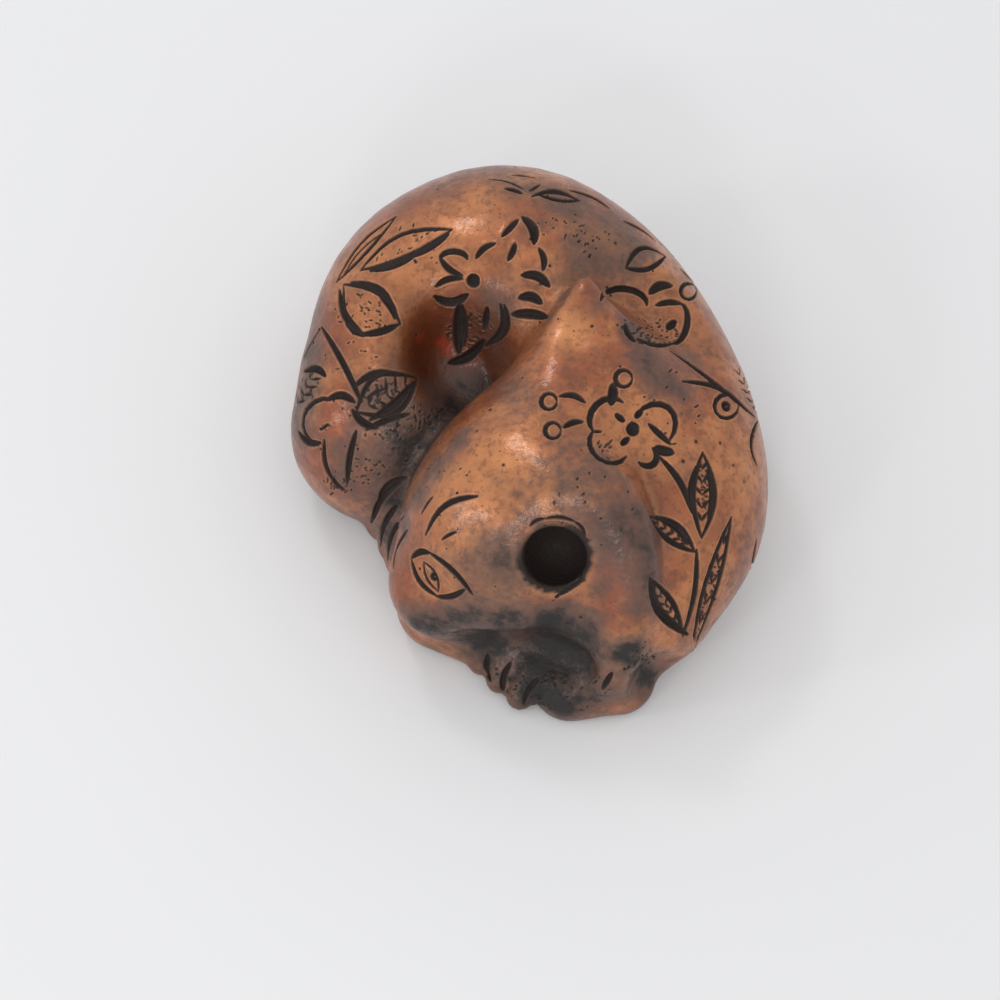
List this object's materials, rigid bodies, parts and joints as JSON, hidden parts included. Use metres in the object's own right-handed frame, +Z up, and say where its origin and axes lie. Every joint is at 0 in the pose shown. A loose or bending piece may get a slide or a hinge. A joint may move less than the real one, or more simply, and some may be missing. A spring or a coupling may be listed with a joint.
{
  "type": "animal okimono",
  "caption": "Palm-sized cast bronze ornament of an animal curled up at rest, with a flat base, a bored near ear and engraved flowers and leaves.",
  "frame": {"origin": "on the resting plane, under the middle of the bounding box", "axes": "+Z up, +Y from the front paws and chin towards the rounded back, +X towards the right flank"},
  "size_m": [0.0458, 0.0538, 0.025],
  "materials": {
    "copper_bronze": "polished copper-bronze with dark brown patina in the grooves and hollows"
  },
  "bodies": {
    "root": {"curled_cat": "copper_bronze"}
  },
  "joints": []
}
